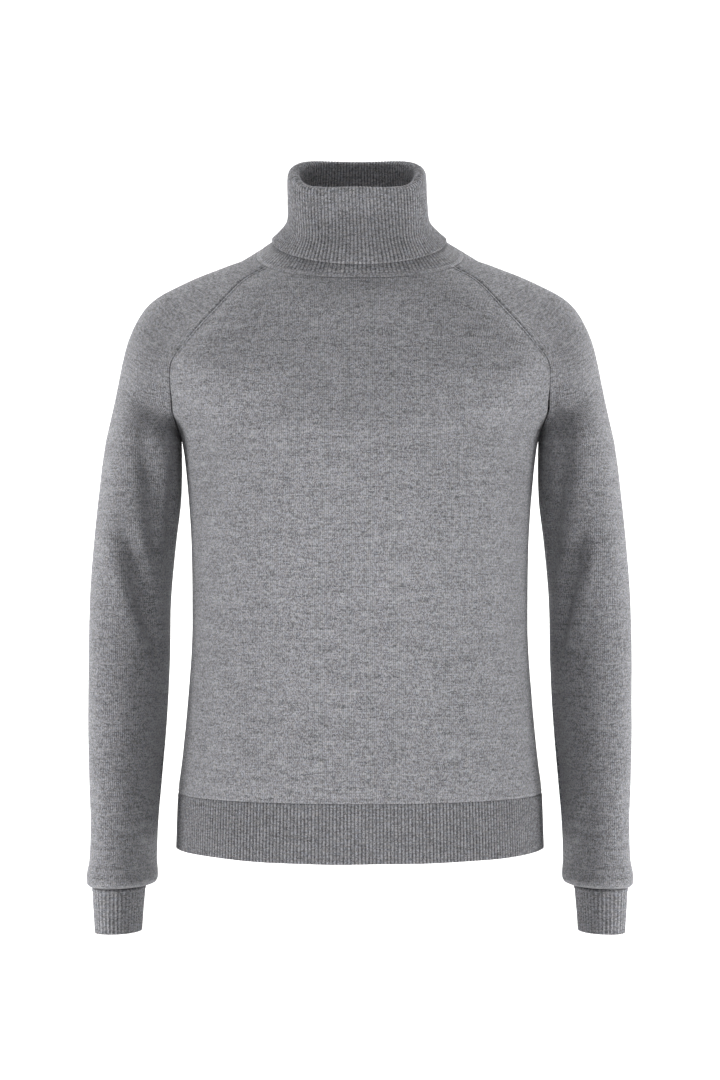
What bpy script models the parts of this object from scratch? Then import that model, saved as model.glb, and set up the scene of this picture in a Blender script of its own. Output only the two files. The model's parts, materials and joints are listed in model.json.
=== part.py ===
"""Roll-neck pullover: fine-gauge raglan sweater, filled out as if worn, open at neck, hem and cuffs.

Metres, +Z up. The front faces -Y and the wearer's left is +X. The origin is the middle of the
neck opening at the height of the shoulders, where the wearer carries the garment.
"""
import bpy
from mathutils import Vector

MM = 0.001
JERSEY_WALL = 1.8 * MM
RIB_WALL = 2.4 * MM
SEAM_GAP = 0.3 * MM
WELD = 0.05 * MM           # points of the two mirrored halves closer than this are one

ROUGHNESS = 0.8
JERSEY_GREY = (0.245, 0.245, 0.262, 1.0)
RIB_GREY = (0.19, 0.19, 0.206, 1.0)
BAND_GREY = (0.29, 0.29, 0.31, 1.0)

OUTWARD = Vector((1, 0, 0))
BACKWARD = Vector((0, 1, 0))
FORWARD = Vector((0, -1, 0))
PURE_NUMBERS = ("square", "rise", "crease", "cut_front", "cut_back")
ELLIPSE = 1.657            # end-tangent length of a quarter ellipse, in semi-axes
HALF_LOOP = 4.0            # end-tangent length of half a loop, in its depths


class Table:
    """Rows of named columns, read smoothly between the rows without overshooting them."""

    def __init__(self, columns, rows):
        self.columns = columns.split()[1:]
        self.keys = [row[0] for row in rows]
        self.series = []
        for index, column in enumerate(self.columns):
            unit = 1.0 if column in PURE_NUMBERS else MM
            self.series.append([row[index + 1] * unit for row in rows])

    def slope(self, values, i):
        if i == 0 or i == len(self.keys) - 1:
            j = min(i, len(self.keys) - 2)
            return (values[j + 1] - values[j]) / (self.keys[j + 1] - self.keys[j])
        before = self.keys[i] - self.keys[i - 1]
        after = self.keys[i + 1] - self.keys[i]
        rise = (values[i] - values[i - 1]) / before
        fall = (values[i + 1] - values[i]) / after
        if rise * fall <= 0:
            return 0.0
        mean = (rise * after + fall * before) / (before + after)
        limit = 3 * min(abs(rise), abs(fall))
        return max(-limit, min(limit, mean))

    def at(self, key):
        key = max(self.keys[0], min(self.keys[-1], key))
        i = max(n for n in range(len(self.keys) - 1) if self.keys[n] <= key)
        span = self.keys[i + 1] - self.keys[i]
        s = (key - self.keys[i]) / span
        found = {}
        for column, values in zip(self.columns, self.series):
            leave = self.slope(values, i) * span
            arrive = self.slope(values, i + 1) * span
            found[column] = hermite(values[i], leave, values[i + 1], arrive, s)
        return found


def hermite(start, leave, end, arrive, s):
    rest = 1 - s
    return (start * (1 + 2 * s) * rest * rest + leave * s * rest * rest
            + end * s * s * (3 - 2 * s) - arrive * s * s * rest)


def hermite_slope(start, leave, end, arrive, s):
    return ((end - start) * 6 * s * (1 - s) + leave * (1 - s) * (1 - 3 * s)
            + arrive * s * (3 * s - 2))


def mix(one, other, share):
    return one * (1 - share) + other * share


# The trunk, one row for each level. 0 is the neck seam, 1 the underarm, 2 the hem. Each section runs
# from the centre front round the side to the centre back; above the underarm its side lies
# inside the sleeve and the raglan seam cuts it off. `square` is how full its corners are, `rise`
# how steeply it climbs toward the back as it passes the side.
TRUNK = Table(
    "level front_y front_z back_y back_z side_x side_y side_z square rise", [
    (0.00, -82, -33, 58, 11, 98, -12, -6, 1.66, 0.47),
    (0.14, -95, -55, 74, -14, 126, -3, -20, 1.78, 0.12),
    (0.30, -104, -84, 86, -46, 155, 5, -44, 1.90, 0),
    (0.48, -112, -109, 93, -81, 184, 5, -80, 1.95, 0),
    (0.62, -118, -129, 98, -110, 198, 5, -108, 1.90, 0),
    (0.78, -123, -152, 101, -142, 189, 5, -147, 1.84, 0),
    (1.00, -127, -184, 103, -180, 169.5, 5, -180, 1.78, 0),
    (1.15, -126, -235, 101, -235, 163, 6, -235, 1.76, 0),
    (1.30, -120, -290, 96, -290, 160, 7, -290, 1.76, 0),
    (1.48, -114, -355, 93, -355, 159.5, 8, -355, 1.76, 0),
    (1.68, -112, -430, 97, -430, 164, 9, -430, 1.76, 0),
    (1.86, -115, -490, 103, -490, 170, 10, -490, 1.76, 0),
    (1.93, -116, -515, 105, -515, 173, 10, -515, 1.76, 0),
    (2.00, -117, -570, 107, -570, 175, 10, -567, 1.76, 0),
])
HEM_LEVEL = 1.93

# The raglan seams and the top of the sleeve, by the same levels. The cuts are where the seam meets
# the trunk's section, `crease` how far the sleeve turns back on itself at the armpit.
RAGLAN = Table(
    "level cut_front cut_back crease outer_x outer_y outer_z depth", [
    (0.00, 0.72, 0.61, 0.00, 98, -12, -6, 40),
    (0.14, 0.66, 0.62, 0.00, 128, 1, -16, 44),
    (0.30, 0.63, 0.63, 0.00, 166, 4, -31, 48),
    (0.48, 0.65, 0.65, 0.04, 203, 4, -54, 52),
    (0.62, 0.68, 0.68, 0.22, 220, 3, -86, 52),
    (0.70, 0.71, 0.71, 0.38, 225.5, 3, -106, 52),
    (0.78, 0.75, 0.75, 0.55, 229.5, 3, -126, 53),
    (0.90, 0.86, 0.86, 0.84, 235.5, 4, -155, 57),
    (1.00, 1.00, 1.00, 1.00, 241.3, 5, -180, 60),
])

# The sleeve below the underarm, one row for each drop below the shoulder. `turn` is how far its
# outer line stands ahead of its middle and its inner line behind, as an arm hangs turned in.
SLEEVE = Table(
    "drop inner_x outer_x centre_y depth turn", [
    (180, 169.9, 241.3, 5, 60, 0),
    (199, 169.6, 244, 4, 59, 1.5),
    (237, 170.5, 248, 2, 56, 5),
    (275, 175, 251.5, 0, 53.5, 8),
    (332, 180, 255, -4, 50, 10.5),
    (390, 181, 255.5, -8, 47, 12),
    (446, 183.5, 255.5, -13, 44, 12.5),
    (503, 188, 254, -18, 41.5, 12.5),
    (541, 191, 254.5, -22, 39, 12),
    (575, 192, 257, -25, 38, 11.5),
    (590, 191, 260, -26, 38, 10.5),
    (597, 193, 258.5, -26.5, 36, 9),
    (600, 201, 252.5, -27, 29, 8),
])

# The cuff, read the same way.
CUFF = Table(
    "drop inner_x outer_x centre_y depth turn", [
    (600, 202, 252.5, -27, 29, 8),
    (620, 204, 251.5, -28.5, 28, 7.5),
    (642, 205.5, 250, -30, 27, 7),
])

# The collar, one row for each step along the tube from the neck band up, over the fold and down. It
# is the face the two layers turn to each other.
COLLAR = Table(
    "step front_y front_z back_y back_z side_x side_y side_z square rise", [
    (0.0, -80.4, -29, 56.5, 15.2, 94, -12, -3.6, 1.66, 0.47),
    (1.0, -77, -16, 55.2, 26, 80.5, -11, 7.5, 1.72, 0.44),
    (2.0, -69, 2, 53.2, 44, 68.5, -8, 21, 1.85, 0.46),
    (3.0, -57, 24, 49.5, 66, 59.5, -5, 42, 2.05, 0.56),
    (4.0, -53.6, 48.1, 48.9, 86.1, 57.2, -3, 66.1, 2.10, 0.60),
    (4.5, -54.5, 50.4, 49.8, 88.4, 58.1, -3, 68.4, 2.10, 0.60),
    (5.0, -56.7, 51.3, 52.0, 89.3, 60.4, -3, 69.3, 2.10, 0.60),
    (5.5, -58.9, 50.4, 54.3, 88.4, 62.7, -3, 68.4, 2.10, 0.60),
    (6.0, -59.8, 48.1, 55.2, 86.1, 63.6, -3, 66.1, 2.10, 0.60),
    (7.0, -61.5, 26, 55.5, 66, 64, -5, 44, 2.05, 0.56),
    (8.0, -69.5, 4, 56, 44, 69.5, -7, 24, 1.85, 0.46),
    (9.0, -78, -14, 57.5, 28, 78, -9, 11.5, 1.72, 0.38),
    (9.6, -80.8, -21, 58.5, 22, 81.5, -10, 7, 1.68, 0.36),
])

# Where the meshes have their rows and columns.
TRUNK_COLUMNS = [0, 0.09, 0.18, 0.28, 0.38, 0.48, 0.58, 0.68, 0.78, 0.88, 0.985, 1]
NOTCH_LEVELS = [0, 0.1, 0.2, 0.3, 0.4, 0.5, 0.6, 0.7, 0.8, 0.9, 1]
SIDE_LEVELS = [1.1, 1.22, 1.36, 1.5, 1.65, 1.8, HEM_LEVEL]
SLEEVE_COLUMNS = [0, 0.02, 0.16, 0.3, 0.44, 0.58, 0.72, 0.86, 1]
SLEEVE_DROPS = [199, 225, 260, 305, 355, 405, 455, 503, 545, 575, 590, 597, 600]
CUFF_DROPS = [600, 620, 642]
COLLAR_STEPS = [0, 0.8, 1.6, 2.4, 3.2, 4, 4.5, 5, 5.5, 6, 7, 7.8, 8.6, 9.2, 9.6]
RING_PARTS = 9


def quarter(section, facing, u):
    """Where a trunk or collar section passes, from its centre line (u = 0) to its side (u = 1)."""
    centre = Vector((0, section[facing + "_y"], section[facing + "_z"]))
    side = Vector((section["side_x"], section["side_y"], section["side_z"]))
    reach = side - centre
    leave = OUTWARD * (section["square"] * reach.x)
    arrive = Vector((0, 1, section["rise"])) * (section["square"] * reach.y)
    return hermite(centre, leave, side, arrive, u), hermite_slope(centre, leave, side, arrive, u)


def trimmed(section, facing, cut):
    """Points along a section up to its seam, half a seam gap short of it."""
    speed = quarter(section, facing, cut)[1].length
    last = cut - SEAM_GAP / 2 / speed
    return [quarter(section, facing, last * share)[0] for share in TRUNK_COLUMNS]


def drawn_in(points, neighbours):
    """The row at a seam, drawn half a seam gap toward the next row of its own piece."""
    moved = []
    for point, neighbour in zip(points, neighbours):
        moved.append(point + (neighbour - point).normalized() * (SEAM_GAP / 2))
    return moved


def fabric(name, colour):
    material = bpy.data.materials.new(name)
    material.use_nodes = True
    shader = material.node_tree.nodes["Principled BSDF"]
    shader.inputs["Base Color"].default_value = colour
    shader.inputs["Roughness"].default_value = ROUGHNESS
    shader.inputs["Metallic"].default_value = 0.0
    return material


def cloth(name, rows, wall, colour, mirrored=False, flipped=False):
    """A wall of cloth on a grid of rows; neighbours that fall on one point are one vertex."""
    vertices = []
    numbers = []
    known = {}
    for row in rows:
        line = []
        for point in row:
            key = tuple(round(value * 1e7) for value in point)
            if key not in known:
                known[key] = len(vertices)
                vertices.append(point)
            line.append(known[key])
        numbers.append(line)
    faces = []
    for upper, lower in zip(numbers, numbers[1:]):
        for j in range(len(upper) - 1):
            corners = [upper[j], lower[j], lower[j + 1], upper[j + 1]]
            faces.append(corners[::-1] if flipped else corners)
    mesh = bpy.data.meshes.new(name)
    mesh.from_pydata(vertices, [], faces)
    mesh.update()
    piece = bpy.data.objects.new(name, mesh)
    bpy.context.collection.objects.link(piece)
    piece.data.materials.append(fabric(name, colour))
    if mirrored:
        mirror = piece.modifiers.new("other half", "MIRROR")
        mirror.merge_threshold = WELD
    solid = piece.modifiers.new("wall", "SOLIDIFY")
    solid.thickness = wall
    solid.offset = -1
    solid.use_even_offset = True
    return piece


def panel(name, facing, flipped):
    """Front or back: cut off at the raglan seams above the underarm, at the side seams below."""
    rows = []
    for level in NOTCH_LEVELS + SIDE_LEVELS:
        cut = RAGLAN.at(level)["cut_" + facing] if level < 1 else 1.0
        rows.append(trimmed(TRUNK.at(level), facing, cut))
    rows[0] = drawn_in(rows[0], rows[1])
    rows[-1] = drawn_in(rows[-1], rows[-2])
    cloth(name, rows, JERSEY_WALL, JERSEY_GREY, mirrored=True, flipped=flipped)


def hem_rib(name, facing, flipped):
    levels = [HEM_LEVEL, (HEM_LEVEL + 2) / 2, 2]
    rows = [trimmed(TRUNK.at(level), facing, 1.0) for level in levels]
    rows[0] = drawn_in(rows[0], rows[1])
    cloth(name, rows, RIB_WALL, RIB_GREY, mirrored=True, flipped=flipped)


def seam_start(level, facing):
    """Where a sleeve row leaves the raglan seam and which way it sets off."""
    reading = RAGLAN.at(level)
    crease = reading["crease"]
    back_or_forth = FORWARD if facing == "front" else BACKWARD
    point, across = quarter(TRUNK.at(level), facing, reading["cut_" + facing])
    across = across.normalized()
    apart = (across * (1 - crease) + OUTWARD * crease).normalized()
    leave = across.slerp(back_or_forth, crease, back_or_forth)
    return point + apart * SEAM_GAP, leave


def sleeve_row(level):
    """From the front raglan seam over the shoulder to the back raglan seam."""
    reading = RAGLAN.at(level)
    outer = Vector((reading["outer_x"], reading["outer_y"], reading["outer_z"]))
    halves = []
    for facing in ("front", "back"):
        start, leave = seam_start(level, facing)
        travel = BACKWARD if facing == "front" else FORWARD
        chord = outer - start
        square = 1 + (ELLIPSE - 1) * leave.cross(travel).length
        turned = max(0.0, -leave.dot(travel))
        swing = HALF_LOOP * (2 * reading["depth"] - abs(chord.y)) / (1 + turned)
        first = leave * mix(square * abs(chord.dot(leave)), swing, turned)
        last = travel * mix(square * abs(chord.dot(travel)), swing, turned)
        halves.append([hermite(start, first, outer, last, share) for share in SLEEVE_COLUMNS])
    return halves[0] + halves[1][-2::-1]


def sleeve_neck_row():
    """The part of the neck seam between the two raglan seams."""
    halves = []
    for facing in ("front", "back"):
        cut = RAGLAN.at(0)["cut_" + facing]
        speed = quarter(TRUNK.at(0), facing, cut)[1].length
        first = cut + SEAM_GAP / speed
        shares = [first + (1 - first) * share for share in SLEEVE_COLUMNS]
        halves.append([quarter(TRUNK.at(0), facing, share)[0] for share in shares])
    return halves[0] + halves[1][-2::-1]


def arm_ring(table, drop):
    reading = table.at(drop)
    inner = Vector((reading["inner_x"], reading["centre_y"] + reading["turn"], -drop * MM))
    outer = Vector((reading["outer_x"], reading["centre_y"] - reading["turn"], -drop * MM))
    swing = HALF_LOOP * reading["depth"]
    halves = []
    for way in (FORWARD, BACKWARD):
        first = way * swing
        halves.append([hermite(inner, first, outer, -first, share) for share in SLEEVE_COLUMNS])
    return halves[0] + halves[1][-2::-1]


def on_side(rows, side):
    return [[Vector((point.x * side, point.y, point.z)) for point in row] for row in rows]


def sleeve(name, side):
    rows = [sleeve_neck_row()] + [sleeve_row(level) for level in NOTCH_LEVELS[1:]]
    rows += [arm_ring(SLEEVE, drop) for drop in SLEEVE_DROPS]
    rows[0] = drawn_in(rows[0], rows[1])
    rows[-1] = drawn_in(rows[-1], rows[-2])
    cloth(name, on_side(rows, side), JERSEY_WALL, JERSEY_GREY, flipped=side < 0)


def cuff(name, side):
    rows = [arm_ring(CUFF, drop) for drop in CUFF_DROPS]
    rows[0] = drawn_in(rows[0], rows[1])
    cloth(name, on_side(rows, side), RIB_WALL, RIB_GREY, flipped=side < 0)


def half_ring(section):
    """Front centre round the wearer's left side to back centre."""
    shares = [n / RING_PARTS for n in range(RING_PARTS + 1)]
    front = [quarter(section, "front", share)[0] for share in shares]
    back = [quarter(section, "back", share)[0] for share in shares]
    return front + back[-2::-1]


def collar():
    rows = [half_ring(COLLAR.at(step)) for step in COLLAR_STEPS]
    rows[0] = drawn_in(rows[0], rows[1])
    cloth("collar", rows[::-1], RIB_WALL, RIB_GREY, mirrored=True)


def neck_band():
    rows = [half_ring(COLLAR.at(0)), half_ring(TRUNK.at(0))]
    ends = [drawn_in(rows[0], rows[1]), drawn_in(rows[1], rows[0])]
    cloth("neck_band", ends, JERSEY_WALL, BAND_GREY, mirrored=True)


def main():
    for old in list(bpy.data.objects):
        bpy.data.objects.remove(old, do_unlink=True)
    panel("front", "front", flipped=False)
    panel("back", "back", flipped=True)
    hem_rib("hem_rib_front", "front", flipped=False)
    hem_rib("hem_rib_back", "back", flipped=True)
    for name, side in (("left", 1), ("right", -1)):
        sleeve("sleeve_" + name, side)
        cuff("cuff_" + name, side)
    neck_band()
    collar()


main()
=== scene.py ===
"""Looks of the roll-neck pullover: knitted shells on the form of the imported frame's solids.

Metres, +Z up, the front faces -Y and the wearer's left is +X. Each piece is a thin closed shell that
stands for its CAD solid. Sizes in the tables are millimetres.
"""
import json
import math

import bpy
import numpy as np
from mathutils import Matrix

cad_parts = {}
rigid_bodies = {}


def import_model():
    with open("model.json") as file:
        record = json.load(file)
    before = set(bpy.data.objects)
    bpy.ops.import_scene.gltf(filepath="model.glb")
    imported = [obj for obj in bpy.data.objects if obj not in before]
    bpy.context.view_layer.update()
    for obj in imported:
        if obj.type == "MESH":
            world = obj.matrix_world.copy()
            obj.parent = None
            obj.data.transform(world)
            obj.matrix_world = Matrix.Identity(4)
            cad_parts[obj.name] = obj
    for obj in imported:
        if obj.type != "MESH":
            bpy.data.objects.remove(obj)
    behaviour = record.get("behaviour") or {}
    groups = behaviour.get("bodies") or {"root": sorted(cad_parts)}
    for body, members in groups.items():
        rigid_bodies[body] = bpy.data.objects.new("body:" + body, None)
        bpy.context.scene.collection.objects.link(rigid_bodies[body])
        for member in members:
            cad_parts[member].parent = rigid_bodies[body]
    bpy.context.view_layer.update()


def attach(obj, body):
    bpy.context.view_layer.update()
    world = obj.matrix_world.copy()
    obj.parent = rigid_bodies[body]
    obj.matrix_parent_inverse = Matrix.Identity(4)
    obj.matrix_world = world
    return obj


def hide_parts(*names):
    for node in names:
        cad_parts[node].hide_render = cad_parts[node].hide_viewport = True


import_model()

MM = 0.001
ELLIPSE = 1.657            # end-tangent length of a quarter ellipse, in semi-axes
HALF_LOOP = 4.0            # end-tangent length of half a loop, in its depths
SLEEVE_GAP = 0.1 * MM      # how far the sleeve's edge stands off the trunk's form at the raglan

# The cloth.
JERSEY_WALL = 1.8 * MM
RIB_WALL = 2.2 * MM
WALE = 1.9 * MM            # one stitch across
COURSE = 1.35 * MM         # one stitch along
STITCH_HEIGHT = 0.35 * MM
BAND_STITCH_HEIGHT = 0.30 * MM
RIB_HEIGHT = 0.60 * MM
RIB_STEPS = 6              # columns of the mesh to one rib
COLLAR_RIBS = 128
HEM_RIBS = 146             # in each half of the hem
CUFF_RIBS = 44
CUFF_RELIEF = 1.15         # the cuffs' ribs against the others
RIB_RAMP = 3 * MM          # how far from an edge the ribs reach their height
CUFF_RAMP = 17 * MM
FASHIONED = 6.0 * MM       # the stitches this close to a raglan seam run along it
BAND_BULGE = 0.1 * MM
BAND_STITCHES = 2          # columns of the neck band's mesh to one stitch

# The seams: `NECK_SEAM` and `END_SEAM` are their depth at the neck and at the ribs against the raglans.
NECK_SEAM = 0.35
END_SEAM = 0.35
SEAM_PROFILE = (           # height, place and width of the dip, the welt and the groove beside it
    (-1.0 * MM, 0.0, 0.9 * MM),
    (0.6 * MM, 2.3 * MM, 1.0 * MM),
    (-0.4 * MM, 4.6 * MM, 0.8 * MM),
)
CREASE_FADE = 0.4          # the share of a crease's length in which it fades in, and out again
SEAM_UNIT = 10 * MM        # one unit of the `seam` map
LINE_WIDTH = 0.12          # the painted lines beside a seam, in those units: shade in its dip and groove, a highlight on its welt
PALE_LINE = 0.24
PALE_WIDTH = 0.11
DASHED_LINE = 0.48
DASHED_WIDTH = 0.10
DASHES = 1.6               # dashes to one unit along the seam

# The collar, and the hem's lower edge.
COLLAR_LEAN = 3.0 * MM     # how far its top leans to the wearer's right
LEAN_FROM = -20 * MM       # the height where the lean starts, and over how much height it grows
LEAN_SPAN = 90 * MM
RIM_CORNER = 7.5 * MM      # how much higher the front rim stands at its corners than in its middle
FOLD_START = 3.6           # steps of the collar's table where it turns over
FOLD_END = 6.4
FALL_END = 9.6
SLACK = 0.35 * MM          # how far its hanging edge waves
HEM_TUG = 0.6 * MM         # how far the hem's lower edge waves

# The bake layout: the height that the outside takes, and where the inside's narrower strip starts.
OUTSIDE_CHART = 0.66
INSIDE_CHART = 0.665

# How fine the meshes are.
FINE_ROWS = 7
FINE_STEP = 0.8 * MM
PANEL_ROWS = 150
PANEL_COLUMNS = 84
EDGE_CROWDING = 1.6        # how much closer the columns lie toward a side seam
SLEEVE_COLUMNS = 56
SLEEVE_CROWDING = 1.35
SLEEVE_TOP_ROWS = 72
SLEEVE_LOW_ROWS = 110
STAND_ROWS = 16
FOLD_ROWS = 20
FALL_ROWS = 22
HEM_ROWS = 26
HEM_POINTS = 200
CUFF_ROWS = 30
CUFF_POINTS = 120
BAND_ROWS = 9
BAND_COLUMNS = 360
RING_POINTS = 400
PROBES = 300

# Where the rows of the sleeve and the cuff are, by the drops and levels of their tables.
NECK_EASE = 0.12           # the level where the sleeve is clear of the neck seam
SLEEVE_JOIN = 181          # its first whole ring, below the underarm
BLOUSE = 585               # where it starts to turn in over the cuff, with finer rows
SLEEVE_END = 600
CUFF_END = 642

# The room.
FLOOR = -1.4
BACKDROP_FRONT = 4.0
BACKDROP_BEND = 1.6
BEND_STEPS = 12
BACKDROP_TOP = 4.5
BACKDROP_HALF = 6.0
CAMERA_AWAY = 2.6
CAMERA_HEIGHT = -0.275
LENS = 91.2
FRONT_POWER = 3.0
FRONT_TOP_POWER = 9.0
BODY_TOP_POWER = 6.0
TOP_POWER = 45.0
SIDE_POWER = 41.0
NECK_POWER = 3.5
WALL_POWER = 115.0
WORLD_LIGHT = 0.04

# How light the yarn is in each kind of cloth.
TORSO_TONE = 0.30
RIB_TONE = 0.265
COLLAR_TONE = 0.29
CUFF_TONE = 0.29
BAND_TONE = 0.30

OUTWARD = np.array((1.0, 0.0, 0.0))
BACKWARD = np.array((0.0, 1.0, 0.0))
FORWARD = -BACKWARD
PURE_NUMBERS = ("square", "rise", "crease", "cut_front", "cut_back")


class Table:
    """Rows of named columns, read smoothly between the rows without overshooting them."""

    def __init__(self, columns, rows):
        self.columns = columns.split()[1:]
        self.keys = [row[0] for row in rows]
        self.series = []
        for index, column in enumerate(self.columns):
            scale = 1.0 if column in PURE_NUMBERS else MM
            self.series.append([row[index + 1] * scale for row in rows])

    def slope(self, values, i):
        if i == 0 or i == len(self.keys) - 1:
            j = min(i, len(self.keys) - 2)
            return (values[j + 1] - values[j]) / (self.keys[j + 1] - self.keys[j])
        before = self.keys[i] - self.keys[i - 1]
        after = self.keys[i + 1] - self.keys[i]
        rise = (values[i] - values[i - 1]) / before
        fall = (values[i + 1] - values[i]) / after
        if rise * fall <= 0:
            return 0.0
        mean = (rise * after + fall * before) / (before + after)
        limit = 3 * min(abs(rise), abs(fall))
        return max(-limit, min(limit, mean))

    def at(self, key):
        key = max(self.keys[0], min(self.keys[-1], key))
        i = max(n for n in range(len(self.keys) - 1) if self.keys[n] <= key)
        span = self.keys[i + 1] - self.keys[i]
        s = (key - self.keys[i]) / span
        found = {}
        for column, values in zip(self.columns, self.series):
            leave = self.slope(values, i) * span
            arrive = self.slope(values, i + 1) * span
            found[column] = float(hermite(values[i], leave, values[i + 1], arrive, s))
        return found


def hermite(start, leave, end, arrive, s):
    rest = 1 - s
    return (start * (1 + 2 * s) * rest * rest + leave * s * rest * rest
            + end * s * s * (3 - 2 * s) - arrive * s * s * rest)


def hermite_slope(start, leave, end, arrive, s):
    return ((end - start) * 6 * s * (1 - s) + leave * (1 - s) * (1 - 3 * s)
            + arrive * s * (3 * s - 2))


def mix(one, other, share):
    return one * (1 - share) + other * share


def unit(vector):
    return vector / np.linalg.norm(vector)


# The trunk, one row for each level: 0 is the neck seam, 1 the underarm, 2 the hem.
TRUNK = Table(
    "level front_y front_z back_y back_z side_x side_y side_z square rise", [
    (0.00, -82, -33, 58, 11, 98, -12, -6, 1.66, 0.47),
    (0.14, -95, -55, 74, -14, 126, -3, -20, 1.78, 0.12),
    (0.30, -104, -84, 86, -46, 155, 5, -44, 1.90, 0),
    (0.48, -112, -109, 93, -81, 184, 5, -80, 1.95, 0),
    (0.62, -118, -129, 98, -110, 198, 5, -108, 1.90, 0),
    (0.78, -123, -152, 101, -142, 189, 5, -147, 1.84, 0),
    (1.00, -127, -184, 103, -180, 169.5, 5, -180, 1.78, 0),
    (1.15, -126, -235, 101, -235, 163, 6, -235, 1.76, 0),
    (1.30, -120, -290, 96, -290, 160, 7, -290, 1.76, 0),
    (1.48, -114, -355, 93, -355, 159.5, 8, -355, 1.76, 0),
    (1.68, -112, -430, 97, -430, 164, 9, -430, 1.76, 0),
    (1.86, -115, -490, 103, -490, 170, 10, -490, 1.76, 0),
    (1.93, -116, -515, 105, -515, 173, 10, -515, 1.76, 0),
    (2.00, -117, -570, 107, -570, 175, 10, -567, 1.76, 0),
])
HEM_LEVEL = 1.93

# The raglan seams and the top of the sleeve, by the same levels.
RAGLAN = Table(
    "level cut_front cut_back crease outer_x outer_y outer_z depth", [
    (0.00, 0.72, 0.61, 0.00, 98, -12, -6, 40),
    (0.14, 0.66, 0.62, 0.00, 128, 1, -16, 44),
    (0.30, 0.63, 0.63, 0.00, 166, 4, -31, 48),
    (0.48, 0.65, 0.65, 0.04, 203, 4, -54, 52),
    (0.62, 0.68, 0.68, 0.22, 220, 3, -86, 52),
    (0.70, 0.71, 0.71, 0.38, 225.5, 3, -106, 52),
    (0.78, 0.75, 0.75, 0.55, 229.5, 3, -126, 53),
    (0.90, 0.86, 0.86, 0.84, 235.5, 4, -155, 57),
    (1.00, 1.00, 1.00, 1.00, 241.3, 5, -180, 60),
])

# The sleeve below the underarm and the cuff, one row for each drop below the shoulder. `turn` is how
# far the outer line stands ahead of the middle and the inner line behind, as an arm hangs turned in.
SLEEVE = Table(
    "drop inner_x outer_x centre_y depth turn", [
    (180, 169.9, 241.3, 5, 60, 0),
    (199, 169.6, 244, 4, 59, 1.5),
    (237, 170.5, 248, 2, 56, 5),
    (275, 175, 251.5, 0, 53.5, 8),
    (332, 180, 255, -4, 50, 10.5),
    (390, 181, 255.5, -8, 47, 12),
    (446, 183.5, 255.5, -13, 44, 12.5),
    (503, 188, 254, -18, 41.5, 12.5),
    (541, 191, 252.5, -22, 39, 12),
    (575, 192, 253.5, -25, 38, 11.5),
    (590, 191, 256, -26, 38, 10.5),
    (597, 193, 255.5, -26.5, 36, 9),
    (600, 201, 251, -27, 29, 8),
])
CUFF = Table(
    "drop inner_x outer_x centre_y depth turn", [
    (600, 202, 251, -27, 29, 8),
    (620, 204, 249.5, -28.5, 28, 7.5),
    (642, 205.5, 248, -30, 27, 7),
])

# The collar, one row for each step along the tube from the neck band up, over the fold and down.
COLLAR = Table(
    "step front_y front_z back_y back_z side_x side_y side_z square rise", [
    (0.0, -80.4, -29, 56.5, 15.2, 94, -12, -3.6, 1.66, 0.47),
    (1.0, -77, -16, 55.2, 26, 78.5, -11, 7.5, 1.72, 0.44),
    (2.0, -69, 2, 53.2, 44, 64.3, -8, 21, 1.85, 0.46),
    (3.0, -57, 24, 49.5, 66, 59.5, -5, 42, 2.05, 0.56),
    (4.0, -53.6, 48.1, 48.9, 86.1, 57.2, -3, 66.1, 2.10, 0.60),
    (4.5, -54.5, 50.4, 49.8, 88.4, 58.1, -3, 68.4, 2.10, 0.60),
    (5.0, -56.7, 51.3, 52.0, 89.3, 60.4, -3, 69.3, 2.10, 0.60),
    (5.5, -58.9, 50.4, 54.3, 88.4, 62.7, -3, 68.4, 2.10, 0.60),
    (6.0, -59.8, 48.1, 55.2, 86.1, 63.6, -3, 66.1, 2.10, 0.60),
    (7.0, -61.5, 26, 55.5, 66, 64, -5, 44, 2.05, 0.56),
    (8.0, -69.5, 4, 56, 44, 65.8, -7, 24, 1.85, 0.46),
    (9.0, -78, -14, 57.5, 28, 76, -9, 11.5, 1.72, 0.38),
    (9.6, -80.8, -21, 58.5, 22, 81.5, -10, 7, 1.68, 0.36),
])


# ---------------------------------------------------------------- form

def quarter(section, facing, u):
    """Points of a trunk or collar section from its centre line (u = 0) to its side (u = 1)."""
    u = np.atleast_1d(u)[:, None]
    centre = np.array((0.0, section[facing + "_y"], section[facing + "_z"]))
    side = np.array((section["side_x"], section["side_y"], section["side_z"]))
    reach = side - centre
    leave = OUTWARD * (section["square"] * reach[0])
    arrive = np.array((0.0, 1.0, section["rise"])) * (section["square"] * reach[1])
    return hermite(centre, leave, side, arrive, u), hermite_slope(centre, leave, side, arrive, u)


def toward_edge(count):
    """Shares from 0 to 1 that come closer together at 1, where a seam needs finer steps."""
    even = np.linspace(0, 1, count + 1)
    return 1 - (1 - even) ** EDGE_CROWDING


def smooth(share):
    """A share from 0 to 1 that starts and ends gently."""
    return share * share * (3 - 2 * share)


def panel_grid(facing, levels, shares):
    """Rows from the neck down, columns from the wearer's right to the wearer's left."""
    rows = []
    for level in levels:
        cut = RAGLAN.at(level)["cut_" + facing] if level < 1 else 1.0
        half = quarter(TRUNK.at(level), facing, shares * cut)[0]
        rows.append(np.vstack([half[:0:-1] * (-1, 1, 1), half]))
    return np.array(rows)


def ring(section, count):
    """A whole section: front centre, the wearer's left, back centre, the wearer's right."""
    shares = np.linspace(0, 1, count // 4 + 1)
    front = quarter(section, "front", shares)[0]
    back = quarter(section, "back", shares)[0]
    left = np.vstack([front, back[-2::-1]])
    return np.vstack([left, left[-2::-1] * (-1, 1, 1)])


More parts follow.
